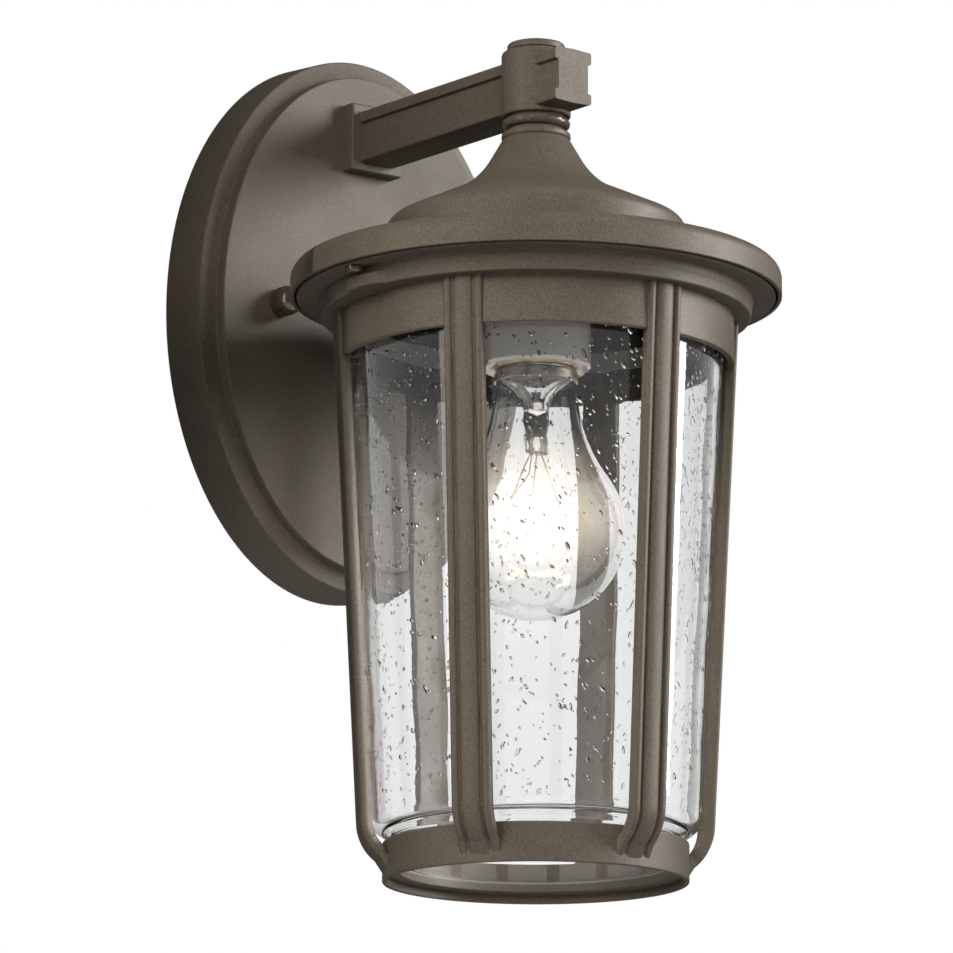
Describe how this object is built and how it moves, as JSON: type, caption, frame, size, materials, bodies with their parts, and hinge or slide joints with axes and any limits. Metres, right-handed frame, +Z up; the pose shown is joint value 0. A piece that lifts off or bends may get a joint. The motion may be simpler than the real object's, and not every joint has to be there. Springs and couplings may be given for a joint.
{
  "type": "outdoor wall lantern",
  "caption": "Outdoor wall lantern: oval backplate, recessed arm with hub, bell roof, ribbed cage round a tapered seeded glass shade, open below, with a clear lit bulb.",
  "frame": {"origin": "centre of the crossbar's back face on the wall, which is the oval backplate's centre", "axes": "+Y into the wall, +Z up, +X to the right when facing the wall; the lantern stands out towards -Y"},
  "size_m": [0.165, 0.1984, 0.3018],
  "materials": {
    "bronze_powder_coat": "fine-grained satin powder coat",
    "bronze_gloss_ring": "semi-gloss bronze",
    "dark_bronze_nut": "glossy dark bronze plating",
    "dark_bronze_screw": "glossy dark bronze plating",
    "zinc_plated_steel": "zinc plated",
    "green_screw_finish": "green grounding finish",
    "aluminium_cap": "pressed",
    "glazed_porcelain": "glazed white porcelain",
    "nickelled_brass": "rolled, satin",
    "brass_contact": "satin",
    "wire_insulation": "matte",
    "wire_nut_plastic": "matte",
    "clear_bulb_glass": "clear",
    "nickel_wire": "drawn",
    "glowing_filament": "lit",
    "bulb_base_metal": "rolled, satin",
    "black_insulator": "glossy",
    "seeded_glass": "clear, seeded with small bubbles",
    "clear_silicone": "soft, translucent"
  },
  "bodies": {
    "fixture": {"backplate": "bronze_powder_coat", "box_bar": "zinc_plated_steel", "stud_bar": "zinc_plated_steel", "bar_screws": "zinc_plated_steel", "mounting_studs": "zinc_plated_steel", "stud_lock_nuts": "zinc_plated_steel", "ground_screw": "green_screw_finish", "arm_collar": "bronze_powder_coat", "arm_screws": "zinc_plated_steel", "arm": "bronze_powder_coat", "hub_cap": "bronze_powder_coat", "hub_locknut": "zinc_plated_steel", "nipple": "zinc_plated_steel", "neck_ring_upper": "bronze_gloss_ring", "neck_ring_lower": "bronze_powder_coat", "roof": "bronze_powder_coat", "roof_locknut": "zinc_plated_steel", "socket_cap": "aluminium_cap", "socket_body": "glazed_porcelain", "socket_shell": "nickelled_brass", "socket_contact": "brass_contact", "lead_wires": "wire_insulation", "wire_nuts": "wire_nut_plastic"},
    "cage": {"cage_top_ring": "bronze_powder_coat", "rib_1": "bronze_powder_coat", "rib_2": "bronze_powder_coat", "rib_3": "bronze_powder_coat", "rib_4": "bronze_powder_coat", "rib_5": "bronze_powder_coat", "rib_6": "bronze_powder_coat", "cage_bottom_ring": "bronze_powder_coat", "glass_shade": "seeded_glass", "glass_top_gasket": "clear_silicone", "glass_seat_gasket": "clear_silicone"},
    "bulb": {"bulb_glass": "clear_bulb_glass", "bulb_stem": "clear_bulb_glass", "bulb_support_wires": "nickel_wire", "bulb_filament": "glowing_filament", "bulb_base": "bulb_base_metal", "bulb_insulator": "black_insulator", "bulb_contact": "brass_contact"},
    "cap_nut_left": {"cap_nut_left": "dark_bronze_nut"},
    "cap_nut_right": {"cap_nut_right": "dark_bronze_nut"},
    "cage_screw_left": {"cage_screw_left": "dark_bronze_screw"},
    "cage_screw_right": {"cage_screw_right": "dark_bronze_screw"}
  },
  "joints": [
    {"name": "cage_drop", "type": "slide", "parent": "fixture", "child": "cage", "axis": [0, 0, -1], "range_m": [0, 0.125]},
    {"name": "bulb_out", "type": "slide", "parent": "fixture", "child": "bulb", "axis": [0, 0, -1], "range_m": [0, 0.215]},
    {"name": "cap_nut_left_turn", "type": "hinge", "parent": "fixture", "child": "cap_nut_left", "pos_m": [-0.0375, -0.028, 0.002], "axis": [0, -1, 0], "continuous": true},
    {"name": "cap_nut_right_turn", "type": "hinge", "parent": "fixture", "child": "cap_nut_right", "pos_m": [0.0375, -0.028, 0.002], "axis": [0, -1, 0], "continuous": true},
    {"name": "cage_screw_left_turn", "type": "hinge", "parent": "cage", "child": "cage_screw_left", "pos_m": [-0.0766, -0.1159, -0.009], "axis": [0, 0, -1], "continuous": true},
    {"name": "cage_screw_right_turn", "type": "hinge", "parent": "cage", "child": "cage_screw_right", "pos_m": [0.0766, -0.1159, -0.009], "axis": [0, 0, -1], "continuous": true}
  ]
}
